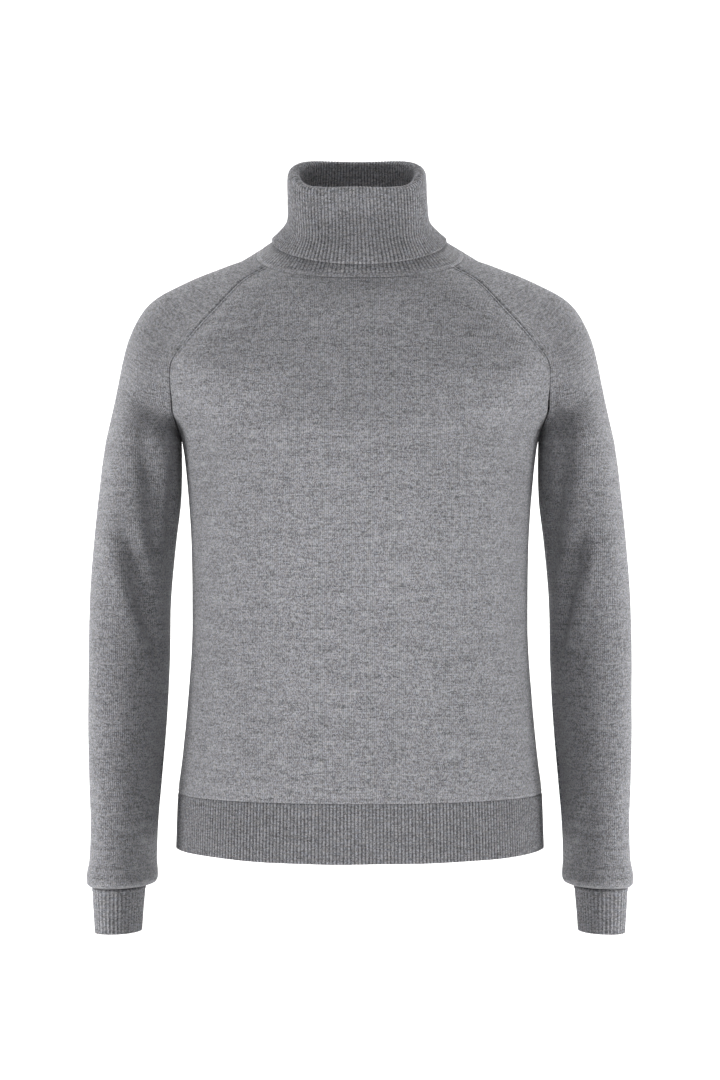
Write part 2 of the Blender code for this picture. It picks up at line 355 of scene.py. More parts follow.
def even_columns(rows, count):
    """The same rows with their points an even arc apart."""
    spread = []
    for row in rows:
        steps = np.linalg.norm(np.diff(row, axis=0), axis=1)
        run = np.concatenate([[0], np.cumsum(steps)])
        marks = np.linspace(0, run[-1], count + 1)
        spread.append(np.stack([np.interp(marks, run, row[:, k]) for k in range(3)], axis=1))
    return np.array(spread)


def turned_toward(heading, goal, share):
    """A direction that lies the given share of the way round from one heading to another."""
    turn = math.acos(max(-1.0, min(1.0, heading @ goal)))
    return unit(heading * math.sin((1 - share) * turn) + goal * math.sin(share * turn))


def sleeve_row(level, shares):
    """From the front raglan seam over the shoulder to the back raglan seam."""
    reading = RAGLAN.at(level)
    outer = np.array((reading["outer_x"], reading["outer_y"], reading["outer_z"]))
    crease = reading["crease"]
    halves = []
    for facing, away in (("front", FORWARD), ("back", BACKWARD)):
        point, across = quarter(TRUNK.at(level), facing, reading["cut_" + facing])
        across = unit(across[0])
        start = point[0] + unit(across * (1 - crease) + OUTWARD * crease) * SLEEVE_GAP
        leave = turned_toward(across, away, crease)
        travel = -away
        chord = outer - start
        square = 1 + (ELLIPSE - 1) * np.linalg.norm(np.cross(leave, travel))
        turned = max(0.0, -leave @ travel)
        swing = HALF_LOOP * (2 * reading["depth"] - abs(chord[1])) / (1 + turned)
        first = leave * mix(square * abs(chord @ leave), swing, turned)
        last = travel * mix(square * abs(chord @ travel), swing, turned)
        halves.append(hermite(start, first, outer, last, shares[:, None]))
    return np.vstack([halves[0], halves[1][-2::-1]])


def sleeve_neck_row(shares):
    """The part of the neck seam between the two raglan seams."""
    halves = []
    for facing in ("front", "back"):
        cut = RAGLAN.at(0)["cut_" + facing]
        halves.append(quarter(TRUNK.at(0), facing, cut + (1 - cut) * shares)[0])
    return np.vstack([halves[0], halves[1][-2::-1]])


def arm_ring(table, drop, shares):
    reading = table.at(drop)
    inner = np.array((reading["inner_x"], reading["centre_y"] + reading["turn"], -drop * MM))
    outer = np.array((reading["outer_x"], reading["centre_y"] - reading["turn"], -drop * MM))
    halves = []
    for way in (FORWARD, BACKWARD):
        first = way * HALF_LOOP * reading["depth"]
        halves.append(hermite(inner, first, outer, -first, shares[:, None]))
    return np.vstack([halves[0], halves[1][-2::-1]])


def normals(grid, outward=1.0, around=False):
    """Unit normals of a grid; `around` says that its last column meets its first."""
    down = np.gradient(grid, axis=0)
    if around:
        padded = np.concatenate([grid[:, -2:-1], grid, grid[:, 1:2]], axis=1)
        across = (padded[:, 2:] - padded[:, :-2]) / 2
    else:
        across = np.gradient(grid, axis=1)
    found = np.cross(down, across)
    length = np.linalg.norm(found, axis=2, keepdims=True)
    return outward * found / np.maximum(length, 1e-12)


def run_along(grid, axis):
    """How far each point lies along its row (axis 1) or column (axis 0)."""
    steps = np.linalg.norm(np.diff(grid, axis=axis), axis=2)
    pad = [(0, 0), (0, 0)]
    pad[axis] = (1, 0)
    return np.pad(np.cumsum(steps, axis=axis), pad)


# ---------------------------------------------------------------- creases and seams

def bump_line(across, height, line):
    """One soft ridge or trough, deepest in its middle, along a bowed line on a panel."""
    values = dict(zip(CREASE_COLUMNS.split(), line))
    start = np.array((values["across"], values["height"])) * MM
    end = np.array((values["to_across"], values["to_height"])) * MM
    length = np.linalg.norm(end - start)
    axis = (end - start) / length
    along = ((across - start[0]) * axis[0] + (height - start[1]) * axis[1]) / length
    bow = values["bow"] * MM * 4 * along * (1 - along)
    off = (height - start[1]) * axis[0] - (across - start[0]) * axis[1] - bow
    inside = np.clip(along / CREASE_FADE, 0, 1) * np.clip((1 - along) / CREASE_FADE, 0, 1)
    off = off / (values["width"] * MM)
    return values["depth"] * MM * smooth(inside) * np.exp(-off * off)


def creased(across, height, lines):
    """The relief of all the creases of a panel."""
    total = np.zeros_like(across)
    for line in lines:
        total = total + bump_line(across, height, line)
    return total


def seam_relief(distance, strength=1.0):
    """A linked edge: the cloth dips into the seam and stands up in a fine welt beside it."""
    return strength * sum(height * np.exp(-((distance - place) / width) ** 2)
                          for height, place, width in SEAM_PROFILE)


# ---------------------------------------------------------------- meshes

def shell(name, outer, inner, stitches, around=False, flipped=False, welded_from=None,
          beside=None, taken=None, seam=None):
    """A closed wall between two grids of the same size, with its stitch and bake layouts.

    `around` welds the last column to the first; `welded_from` does so from that row down. Faces
    whose first corner is `taken` have their stitches from `beside`, along a seam. `seam` says how
    far each point is from the linked seam and how far along it; on the collar it places painted shade
    under the hanging edge instead.
    """
    row_count, column_count = outer.shape[:2]
    index = np.arange(row_count * column_count).reshape(row_count, column_count)
    if around:
        index[:, -1] = index[:, 0]
    if welded_from is not None:
        index[welded_from:, -1] = index[welded_from:, 0]
    count = row_count * column_count
    a = index[:-1, :-1].ravel()
    b = index[1:, :-1].ravel()
    c = index[1:, 1:].ravel()
    d = index[:-1, 1:].ravel()
    quads = np.stack([a, b, c, d], axis=1)
    grid_index = np.arange(count).reshape(row_count, column_count)
    corner = np.stack([grid_index[:-1, :-1].ravel(), grid_index[1:, :-1].ravel(),
                       grid_index[1:, 1:].ravel(), grid_index[:-1, 1:].ravel()], axis=1)
    if flipped:
        quads = quads[:, ::-1]
        corner = corner[:, ::-1]
    outside = quads
    inside = quads[:, ::-1] + count
    edges = {}
    for quad, places in zip(quads.tolist(), corner.tolist()):
        for k in range(4):
            edges[(quad[k], quad[(k + 1) % 4])] = (places[k], places[(k + 1) % 4])
    rim = []
    rim_corner = []
    for (p, q), (i, j) in edges.items():
        if (q, p) not in edges:
            rim.append((q, p, p + count, q + count))
            rim_corner.append((j, i, i, j))
    faces = np.vstack([outside, inside, np.array(rim)]) if rim else np.vstack([outside, inside])
    corners = [corner, corner[:, ::-1]]
    if rim:
        corners.append(np.array(rim_corner))
    corners = np.vstack(corners)
    points = np.vstack([outer.reshape(-1, 3), inner.reshape(-1, 3)])
    used = np.zeros(len(points), dtype=bool)
    used[faces.ravel()] = True
    renumber = np.cumsum(used) - 1
    mesh = bpy.data.meshes.new(name)
    mesh.from_pydata(points[used].tolist(), [], renumber[faces].tolist())
    mesh.polygons.foreach_set("use_smooth", np.ones(len(faces), dtype=bool))

    flat = corners.ravel()
    yarn = stitches.reshape(-1, 2)[flat]
    if beside is not None:
        turned = taken[:-1, :-1] & taken[1:, :-1] & taken[:-1, 1:]
        turned = np.repeat(np.concatenate([turned.ravel(), turned.ravel()]), 4)
        yarn[:len(turned)][turned] = beside.reshape(-1, 2)[flat[:len(turned)][turned]]
    stitch_map = mesh.uv_layers.new(name="stitches")
    stitch_map.data.foreach_set("uv", yarn.astype(np.float32).ravel())
    if seam is None:
        seam = np.ones(stitches.shape)
    seam_map = mesh.uv_layers.new(name="seam")
    seam_map.data.foreach_set("uv", seam.reshape(-1, 2)[flat].astype(np.float32).ravel())
    u, v = np.meshgrid(np.linspace(0.01, 0.99, column_count), np.linspace(0.99, 0.01, row_count))
    chart = np.stack([u, v], axis=2).reshape(-1, 2)[flat]
    outside_loops = 4 * len(outside)
    inside_loops = outside_loops + 4 * len(inside)
    chart[:, 1] *= OUTSIDE_CHART
    chart[outside_loops:inside_loops, 1] = chart[outside_loops:inside_loops, 1] / 2 + INSIDE_CHART
    bake_map = mesh.uv_layers.new(name="OFBake")
    bake_map.data.foreach_set("uv", chart.astype(np.float32).ravel())
    mesh.update()
    piece = bpy.data.objects.new(name, mesh)
    bpy.context.collection.objects.link(piece)
    return piece


def finish_piece(piece, node, material):
    """Its material, and the solid it stands for."""
    piece.data.materials.append(material)
    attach(piece, "root")
    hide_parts(node)


def keys_by_arc(table, columns, first, last, count):
    """Keys of rows that lie evenly along the cloth, and closer together beside a seam at either end."""
    probe = np.linspace(first, last, PROBES)
    points = []
    for key in probe:
        reading = table.at(key)
        points.append([reading[column] for column in columns])
    run = np.concatenate([[0], np.cumsum(np.linalg.norm(np.diff(np.array(points), axis=0), axis=1))])
    fine = np.arange(FINE_ROWS) * FINE_STEP
    middle = np.linspace(fine[-1], run[-1] - fine[-1], count)[1:-1]
    marks = np.concatenate([fine, middle, run[-1] - fine[::-1]])
    return np.interp(marks, run, probe)


def beside_edge(grid, run, column):
    """How far each point is from the seam that runs down one edge column of the grid."""
    step = 1 if column == 0 else -1
    along = np.gradient(grid[:, column], axis=0)
    across = grid[:, column + step] - grid[:, column]
    sine = np.linalg.norm(np.cross(along, across), axis=1)
    sine = sine / np.maximum(np.linalg.norm(along, axis=1) * np.linalg.norm(across, axis=1), 1e-12)
    return np.abs(run - run[:, column][:, None]) * sine[:, None]


def panel(name, node, facing, creases, material):
    """The front or the back of the trunk, from the neck seam to the hem rib."""
    keys = keys_by_arc(TRUNK, (facing + "_y", facing + "_z"), 0.0, HEM_LEVEL, PANEL_ROWS)
    shares = toward_edge(PANEL_COLUMNS)
    grid = panel_grid(facing, keys, shares)
    outward = 1.0 if facing == "front" else -1.0
    facing_out = normals(grid, outward)
    run = run_along(grid, 1)
    middle = PANEL_COLUMNS
    across = run - run[:, middle][:, None]
    height = grid[:, :, 2]
    down = run_along(grid, 0)
    edge = np.minimum(beside_edge(grid, run, 0), beside_edge(grid, run, -1))
    relief = creased(across, height, creases)
    relief = relief + seam_relief(edge, seam_strength(keys)[:, None])
    relief = relief + seam_relief(down, NECK_SEAM) + seam_relief(down[-1][None, :] - down, END_SEAM)
    outer = grid + facing_out * relief[:, :, None]
    inner = outer - facing_out * JERSEY_WALL
    centre = grid[:, middle]
    centre_run = run_along(grid[:, middle:middle + 1], 0)[:, 0]
    order = np.argsort(centre[:, 2])
    level_run = np.interp(height, centre[order, 2], centre_run[order])
    above = np.maximum(height - centre[0, 2], 0)
    stitches = np.stack([across / WALE, -(level_run - above) / COURSE], axis=2)
    beside = np.stack([edge / WALE, -down / COURSE], axis=2)
    notch = (keys < 1)[:, None] & (edge < FASHIONED)
    piece = shell(name, outer, inner, stitches, flipped=facing == "back", beside=beside, taken=notch,
                  seam=raglan_marks(edge, down, keys))
    finish_piece(piece, node, material)


def seam_strength(levels):
    """How strongly the raglan seam shows: fully above the chest, hardly toward the underarm."""
    return np.interp(levels, (0.50, 0.68, 1.0), (1.0, 0.25, 0.30))


def raglan_marks(edge, down, levels):
    """The `seam` map beside a raglan: how far from it and how far along; it fades out at the chest."""
    fade = np.interp(levels, (0.46, 0.66), (0.0, 1.0))[:, None]
    return np.stack([edge / SEAM_UNIT + fade, down / SEAM_UNIT], axis=2)


def sleeve(name, node, side, creases, material):
    """One sleeve: open rows from the neck seam down the raglans, then whole rings to the cuff."""
    top = keys_by_arc(RAGLAN, ("outer_x", "outer_z"), 0.0, 1.0, SLEEVE_TOP_ROWS)[:-1]
    drops = np.concatenate([np.linspace(SLEEVE_JOIN, BLOUSE, SLEEVE_LOW_ROWS),
                            np.arange(BLOUSE + 1, SLEEVE_END + 0.5, 1.0)])
    shares = np.linspace(0, 1, SLEEVE_COLUMNS + 1) ** SLEEVE_CROWDING
    collar_side = sleeve_neck_row(shares) - sleeve_row(0.0, shares)
    rows = []
    for level in top:
        clear_of_neck = smooth(min(1.0, level / NECK_EASE))
        rows.append(sleeve_row(level, shares) + collar_side * (1 - clear_of_neck))
    rows += [arm_ring(SLEEVE, drop, shares) for drop in drops]
    grid = np.array(rows)
    joined = len(top)
    grid[joined:, -1] = grid[joined:, 0]
    facing_out = normals(grid)
    facing_out[joined:, -1] = facing_out[joined:, 0]
    run = run_along(grid, 1)
    middle = SLEEVE_COLUMNS
    across = run[:, middle][:, None] - run
    height = grid[:, :, 2]
    down = run_along(grid, 0)
    edge = np.minimum(beside_edge(grid, run, 0), beside_edge(grid, run, -1))
    levels = np.concatenate([top, np.full(len(drops), 2.0)])
    relief = creased(across, height, creases)
    relief = relief + seam_relief(edge, seam_strength(levels)[:, None])
    relief = relief + seam_relief(down, NECK_SEAM) + seam_relief(down[-1][None, :] - down, END_SEAM)
    relief[joined:, -1] = relief[joined:, 0]
    outer = grid + facing_out * relief[:, :, None]
    inner = outer - facing_out * JERSEY_WALL
    length = down[:, middle][:, None] + np.zeros_like(down)
    stitches = np.stack([across / WALE, -length / COURSE], axis=2)
    beside = np.stack([edge / WALE, -down / COURSE], axis=2)
    notch = (levels < 1)[:, None] & (edge < FASHIONED)
    mirror = np.array((side, 1.0, 1.0))
    piece = shell(name, outer * mirror, inner * mirror, stitches, flipped=side < 0,
                  welded_from=joined, beside=beside, taken=notch,
                  seam=raglan_marks(edge, down, levels))
    finish_piece(piece, node, material)


def rib_wave(columns):
    """Round ridges with narrow grooves between them, and where each column lies among the ribs."""
    phase = np.arange(columns + 1) / RIB_STEPS
    wave = (0.5 + 0.5 * np.cos(2 * math.pi * phase)) ** 0.7
    return phase, (wave - 0.5) * RIB_HEIGHT


def ribbed(rows, outward, around, first_edge, ramp=RIB_RAMP):
    """Rib cloth on rows of even columns; `first_edge` is the share of the relief at the first row."""
    count = rows.shape[1] - 1
    facing_out = normals(rows, outward, around)
    if around:
        facing_out[:, -1] = facing_out[:, 0]
    phase, wave = rib_wave(count)
    down = run_along(rows, 0)
    ease = np.clip(down / ramp, 0, 1) * (1 - first_edge) + first_edge
    relief = wave[None, :] * ease
    stitches = np.stack([np.broadcast_to(phase[None, :] + 0.5, down.shape), -down / COURSE], axis=2)
    return facing_out, relief, down, stitches


def hem_rib(name, node, facing, material):
    """Half of the rib at the hem, with a slightly uneven lower edge."""
    levels = np.linspace(HEM_LEVEL, 2.0, HEM_ROWS)
    shares = np.linspace(0, 1, HEM_POINTS)
    rows = even_columns(panel_grid(facing, levels, shares), HEM_RIBS * RIB_STEPS)
    outward = 1.0 if facing == "front" else -1.0
    facing_out, relief, down, stitches = ribbed(rows, outward, False, 0.5)
    relief = relief + seam_relief(down, END_SEAM)
    x = rows[:, :, 0]
    phase = 2 if facing == "back" else 0
    tug = np.sin(x / (31 * MM) + 0.6) * 0.5 + np.sin(x / (12.3 * MM) + phase) * 0.3
    rows[:, :, 2] += tug * HEM_TUG * (down / down.max())
    outer = rows + facing_out * relief[:, :, None]
    inner = outer - facing_out * RIB_WALL
    piece = shell(name, outer, inner, stitches, flipped=facing == "back")
    finish_piece(piece, node, material)


def cuff(name, node, side, material):
    """A tube of rib whose ridges grow toward the hand."""
    drops = np.linspace(SLEEVE_END, CUFF_END, CUFF_ROWS)
    shares = np.linspace(0, 1, CUFF_POINTS)
    rings = np.array([arm_ring(CUFF, drop, shares) for drop in drops])
    rows = even_columns(rings, CUFF_RIBS * RIB_STEPS)
    facing_out, relief, down, stitches = ribbed(rows, 1.0, True, 0.1, CUFF_RAMP)
    relief = relief * CUFF_RELIEF + seam_relief(down)
    outer = rows + facing_out * relief[:, :, None]
    inner = outer - facing_out * RIB_WALL
    mirror = np.array((side, 1.0, 1.0))
    piece = shell(name, outer * mirror, inner * mirror, stitches, around=True, flipped=side < 0)
    finish_piece(piece, node, material)


def rim_corners(girth, steps):
    """How far the front rim stands up at its two corners, as a share, over the whole collar."""
    from_front = np.minimum(girth, 1 - girth) * 4
    places = (0.25, 0.45, 0.6, 0.75, 0.9, 1.1, 1.3)
    shares = (0, 0.2, 0.55, 1.0, 0.75, 0.2, 0)
    at_rim = np.interp(steps, (2.6, 4.2, 5.8, 7.6), (0, 1, 1, 0))[:, None]
    return np.interp(from_front, places, shares) * at_rim


def collar(name, node, material):
    """One tube of rib: up from the neck band, over the fold, and down to its hanging edge."""
    stand = np.linspace(0, FOLD_START, STAND_ROWS)
    fold = np.linspace(FOLD_START, FOLD_END, FOLD_ROWS)[1:]
    fall = np.linspace(FOLD_END, FALL_END, FALL_ROWS)[1:]
    steps = np.concatenate([stand, fold, fall])
    rings = np.array([ring(COLLAR.at(step), RING_POINTS) for step in steps])
    rows = even_columns(rings, COLLAR_RIBS * RIB_STEPS)
    facing_out, relief, down, stitches = ribbed(rows, 1.0, True, 0.5)
    around = run_along(rows, 1)
    girth = around / around[:, -1][:, None]
    turn = 2 * math.pi * girth
    wave = np.sin(turn * 3 + 0.7) * 0.5 + np.sin(turn * 7 + 2.1) * 0.3
    hanging = np.clip((steps - 7.0) / 2.6, 0, 1)[:, None]
    relief = relief + SLACK * wave * hanging
    # Painted shade: the strip that shows under the hanging edge is darkened through the `seam` map,
    # standing in for the shade of the fold above it.
    painted_shade_place = np.interp(steps, (0.0, 2.0, 3.0), (0.05, 0.04, 1.0))
    painted_shade_marks = np.stack([np.broadcast_to(painted_shade_place[:, None], down.shape), np.zeros(down.shape)], axis=2)
    outer = rows + facing_out * (RIB_WALL + relief)[:, :, None]
    inner = rows.copy()
    raised = RIM_CORNER * rim_corners(girth, steps)
    for grid in (outer, inner):
        grid[:, :, 2] += raised
        share = np.clip((grid[:, :, 2] - LEAN_FROM) / LEAN_SPAN, 0, 1)
        grid[:, :, 0] -= COLLAR_LEAN * smooth(share)
    piece = shell(name, outer, inner, stitches, around=True, seam=painted_shade_marks)
    finish_piece(piece, node, material)


def neck_band(name, node, material):
    """The narrow strip of plain knit between the collar and the trunk."""
    upper = even_columns(np.array([ring(COLLAR.at(0), RING_POINTS)]), BAND_COLUMNS)[0]
    lower = even_columns(np.array([ring(TRUNK.at(0), RING_POINTS)]), BAND_COLUMNS)[0]
    shares = np.linspace(0, 1, BAND_ROWS)
    rows = np.array([mix(upper, lower, share) for share in shares])
    facing_out = normals(rows, 1.0, True)
    facing_out[:, -1] = facing_out[:, 0]
    bulge = BAND_BULGE * np.sin(math.pi * shares)[:, None]
    down = run_along(rows, 0)
    outer = rows + facing_out * bulge[:, :, None]
    inner = outer - facing_out * JERSEY_WALL
    phase = np.arange(BAND_COLUMNS + 1) / BAND_STITCHES
    stitches = np.stack([np.broadcast_to(phase[None, :], down.shape), -down / COURSE], axis=2)
    piece = shell(name, outer, inner, stitches, around=True)
    finish_piece(piece, node, material)


# ---------------------------------------------------------------- materials

class Nodes:
    """A material under construction."""

    def __init__(self, name):
        self.material = bpy.data.materials.new(name)
        self.material.use_nodes = True
        self.tree = self.material.node_tree
        self.shader = self.tree.nodes["Principled BSDF"]

    def fill(self, socket, value):
        if isinstance(value, bpy.types.NodeSocket):
            self.tree.links.new(value, socket)
        else:
            socket.default_value = value

    def math(self, operation, *values):
        node = self.tree.nodes.new("ShaderNodeMath")
        node.operation = operation
        for socket, value in zip(node.inputs, values):
            self.fill(socket, value)
        return node.outputs[0]

    def read(self, layout):
        node = self.tree.nodes.new("ShaderNodeUVMap")
        node.uv_map = layout
        split = self.tree.nodes.new("ShaderNodeSeparateXYZ")
        self.fill(split.inputs[0], node.outputs[0])
        return split.outputs[0], split.outputs[1]

    def peak(self, value, centre, width):
        """1 where the value is at the centre, falling to 0 a width away on either side."""
        off = self.math("DIVIDE", self.math("ABSOLUTE", self.math("SUBTRACT", value, centre)), width)
        return self.math("MAXIMUM", self.math("SUBTRACT", 1.0, self.math("MULTIPLY", off, off)), 0.0)

    def point(self, x, y, z=0.0):
        node = self.tree.nodes.new("ShaderNodeCombineXYZ")
        for socket, value in zip(node.inputs, (x, y, z)):
            self.fill(socket, value)
        return node.outputs[0]

    def random(self, x, y, seed):
        node = self.tree.nodes.new("ShaderNodeTexWhiteNoise")
        node.noise_dimensions = "3D"
        self.fill(node.inputs["Vector"], self.point(x, y, seed))
        return node.outputs["Value"]

    def cloud(self, x, y, seed, detail=2.0):
        node = self.tree.nodes.new("ShaderNodeTexNoise")
        node.noise_dimensions = "3D"
        self.fill(node.inputs["Vector"], self.point(x, y, seed))
        node.inputs["Scale"].default_value = 1.0
        node.inputs["Detail"].default_value = detail
        return node.outputs["Fac"]

    def blend(self, share, one, other):
        node = self.tree.nodes.new("ShaderNodeMix")
        node.data_type = "RGBA"
        self.fill(node.inputs["Factor"], share)
        self.fill(node.inputs["A"], one)
        self.fill(node.inputs["B"], other)
        return node.outputs["Result"]

    def tinted(self, colour, share):
        node = self.tree.nodes.new("ShaderNodeVectorMath")
        node.operation = "SCALE"
        self.fill(node.inputs[0], colour)
        self.fill(node.inputs["Scale"], share)
        return node.outputs[0]


def seam_light_and_shade(n, beside, along):
    """How much the cloth beside a linked seam is lightened or darkened: painted shade in the seam's dip
    and, in dashes like the lines of stitches there, in the groove beside it, and a painted highlight on
    the welt between them. The dark line also paints the collar's shade under its hanging edge.
    """
    dash = n.peak(n.math("FRACT", n.math("MULTIPLY", along, DASHES)), 0.5, 0.3)
    depth = n.math("ADD", -0.22, n.math("MULTIPLY", dash, -0.28))
    dip_shade = n.math("MULTIPLY", n.peak(beside, 0.0, LINE_WIDTH), depth)
    welt_highlight = n.math("MULTIPLY", n.peak(beside, PALE_LINE, PALE_WIDTH), 0.26)
    dashed_groove_shade = n.math("MULTIPLY", n.math("MULTIPLY", n.peak(beside, DASHED_LINE, DASHED_WIDTH), dash), -0.30)
    return n.math("ADD", n.math("ADD", dip_shade, welt_highlight), dashed_groove_shade)


def melange(n, x, y, across, legs, marl, streak):
    """How much lighter or darker the yarn is: in each fleck, in pairs of wales, in runs and at large."""
    fleck_x = n.math("FLOOR", n.math("MULTIPLY", x, legs))
    pair_x = n.math("FLOOR", n.math("MULTIPLY", x, 0.45))
    ply = n.math("FLOOR", n.math("MULTIPLY", n.math("ADD", y, n.math("MULTIPLY", across, 0.5)), 1.3))
    fleck = n.math("SUBTRACT", n.random(fleck_x, ply, 1.3), 0.5)
    pair = n.math("SUBTRACT", n.random(pair_x, ply, 4.1), 0.5)
    run = n.math("SUBTRACT", n.cloud(n.math("MULTIPLY", x, 0.12), n.math("MULTIPLY", y, 1.5), 7.7), 0.5)
    broad = n.math("SUBTRACT", n.cloud(n.math("MULTIPLY", x, 0.035), n.math("MULTIPLY", y, 0.2), 2.9), 0.5)
    shade = n.math("ADD", n.math("MULTIPLY", fleck, 2 * marl), n.math("MULTIPLY", pair, 1.1 * streak))
    shade = n.math("ADD", shade, n.math("MULTIPLY", run, 3.0 * streak))
    return n.math("ADD", shade, n.math("MULTIPLY", broad, 1.5 * streak))


def knit(name, tone, painted_groove_shade, marl, streak, relief=STITCH_HEIGHT, legs=2.0):
    """Melange yarn, one stitch to each unit of the `stitches` map.

    `painted_groove_shade` is painted shade: it darkens the colour between two wales and, less, between the
    courses, where the grooves of the knit lie in shade. `marl` and `streak` are how much the stitches and
    the short runs of yarn differ, `relief` is the height of a stitch, and `legs` into how many flecks a
    stitch divides across.
    """
    n = Nodes(name)
    x, y = n.read("stitches")
    beside, along = n.read("seam")
    part = n.math("FRACT", x)
    across = n.math("MULTIPLY", n.math("ABSOLUTE", n.math("SUBTRACT", part, 0.5)), 2.0)
    leg = n.math("FRACT", n.math("ADD", y, n.math("MULTIPLY", across, 0.5)))
    swing = n.math("SUBTRACT", n.math("MULTIPLY", leg, 2.0), 1.0)
    rung = n.math("SUBTRACT", 1.0, n.math("MULTIPLY", swing, swing))
    wale = n.math("SUBTRACT", 1.0, n.math("POWER", across, 2.5))
    height = n.math("MULTIPLY", wale, n.math("ADD", 0.55, n.math("MULTIPLY", rung, 0.45)))

    shade = melange(n, x, y, across, legs, marl, streak)
    # Painted shade: the colour follows the height of each stitch, darker in the grooves between wales and
    # courses.
    lit = n.math("ADD", 1.0 - painted_groove_shade, n.math("MULTIPLY", height, painted_groove_shade))
    value = n.math("MULTIPLY", n.math("ADD", 1.0, shade), lit)
    # Painted shade and highlight beside the seams, and the collar's painted shade, through the `seam` map.
    value = n.math("MULTIPLY", value, n.math("ADD", 1.0, seam_light_and_shade(n, beside, along)))

    warm = (tone * 1.02, tone * 0.985, tone * 0.985, 1.0)
    cool = (tone * 0.955, tone * 0.99, tone * 1.10, 1.0)
    hue = n.cloud(n.math("MULTIPLY", x, 0.35), n.math("MULTIPLY", y, 0.9), 11.0)
    hue = n.math("ADD", n.math("MULTIPLY", n.math("SUBTRACT", hue, 0.5), 2.4), 0.5)
    hue = n.math("MINIMUM", n.math("MAXIMUM", hue, 0.0), 1.0)
    n.fill(n.shader.inputs["Base Color"], n.tinted(n.blend(hue, warm, cool), value))

    bump = n.tree.nodes.new("ShaderNodeBump")
    bump.inputs["Strength"].default_value = 1.0
    bump.inputs["Distance"].default_value = relief
    fuzz = n.cloud(n.math("MULTIPLY", x, 1.7), n.math("MULTIPLY", y, 1.7), 5.0, 3.0)
    n.fill(bump.inputs["Height"], n.math("ADD", height, n.math("MULTIPLY", fuzz, 0.5)))
    n.fill(n.shader.inputs["Normal"], bump.outputs[0])
    rough = n.math("SUBTRACT", 0.95, n.math("MULTIPLY", height, 0.12))
    n.fill(n.shader.inputs["Roughness"], rough)
    n.shader.inputs["Metallic"].default_value = 0.0
    n.shader.inputs["IOR"].default_value = 1.45
    n.shader.inputs["Specular IOR Level"].default_value = 0.25
    n.shader.inputs["Sheen Weight"].default_value = 0.12
    n.shader.inputs["Sheen Roughness"].default_value = 0.5
    return n.material


def plain(name, value):
    n = Nodes(name)
    n.shader.inputs["Base Color"].default_value = (value, value, value, 1.0)
    n.shader.inputs["Roughness"].default_value = 1.0
    n.shader.inputs["Specular IOR Level"].default_value = 0.0
    return n.material


# ---------------------------------------------------------------- room

def backdrop():
    """A pale floor that curves up into a wall behind the garment."""
    radius = BACKDROP_BEND
    profile = [(-BACKDROP_FRONT, 0.0), (radius, 0.0)]
    for step in range(1, BEND_STEPS + 1):
        turn = math.pi / 2 * step / BEND_STEPS
        profile.append((radius + radius * math.sin(turn), radius - radius * math.cos(turn)))
    profile.append((2 * radius, BACKDROP_TOP))
    points = []
    for y, z in profile:
        points += [(-BACKDROP_HALF, y, FLOOR + z), (BACKDROP_HALF, y, FLOOR + z)]
    faces = [(2 * i, 2 * i + 1, 2 * i + 3, 2 * i + 2) for i in range(len(profile) - 1)]
    mesh = bpy.data.meshes.new("backdrop")
    mesh.from_pydata(points, [], faces)
    mesh.polygons.foreach_set("use_smooth", [True] * len(faces))
    sweep = bpy.data.objects.new("backdrop", mesh)
    bpy.context.collection.objects.link(sweep)
    sweep.data.materials.append(plain("paper", 0.92))


def aim(thing, target):
    away = [target[k] - thing.location[k] for k in range(3)]
    flat = math.hypot(away[0], away[1])
    thing.rotation_euler = (math.atan2(flat, -away[2]), 0.0, math.atan2(away[1], away[0]) - math.pi / 2)


def flagged(reaches):
    """The meshes that a flagged lamp reaches: those whose names pass the test."""
    group = bpy.data.collections.new("lit")
    for piece in bpy.data.objects:
        if piece.type == "MESH" and reaches(piece.name):
            group.objects.link(piece)
    return group


def softbox(name, place, target, size, power, lit=None):
    """A large soft lamp; with `lit` it reaches only the meshes in that group."""
    light = bpy.data.lights.new(name, "AREA")
    light.shape = "RECTANGLE"
    light.size, light.size_y = size
    light.energy = power
    lamp = bpy.data.objects.new(name, light)
    lamp.location = place
    aim(lamp, target)
    bpy.context.collection.objects.link(lamp)
    if lit is not None:
        lamp.light_linking.receiver_collection = lit


def room():
    backdrop()
    above = (0.0, -1.9, 1.5)
    softbox("front_box", (0.0, -2.4, -0.35), (0, 0, -0.35), (0.8, 0.8), FRONT_POWER)
    softbox("front_top_box", above, (0, 0, -0.1), (2.0, 0.8), FRONT_TOP_POWER)
    softbox("top_box", (0.0, 0.7, 1.9), (0, 0, 0), (1.8, 1.0), TOP_POWER)
    softbox("body_top_box", above, (0, 0, -0.1), (2.0, 0.8), BODY_TOP_POWER,
            flagged(lambda name: "sleeve" not in name))
    softbox("neck_box", (0.0, -2.0, 0.9), (0, 0, 0.05), (0.6, 0.4), NECK_POWER,
            flagged(lambda name: "collar" in name))
    for side, far in ((1, "right"), (-1, "left")):
        softbox("side_box", (2.05 * side, -1.2, -0.75), (0, 0, -0.3), (0.9, 1.0), SIDE_POWER,
                flagged(lambda name: far not in name))
    for side in (1, -1):
        softbox("wall_box", (2.6 * side, 1.4, 0.6), (0.4 * side, 3.2, -0.2), (0.8, 2.0), WALL_POWER)
    world = bpy.data.worlds.new("room")
    world.use_nodes = True
    background = world.node_tree.nodes["Background"]
    background.inputs["Color"].default_value = (1.0, 1.0, 1.0, 1.0)
    background.inputs["Strength"].default_value = WORLD_LIGHT
    bpy.context.scene.world = world
    bpy.context.scene.view_settings.view_transform = "Standard"
    bpy.context.scene.view_settings.look = "None"


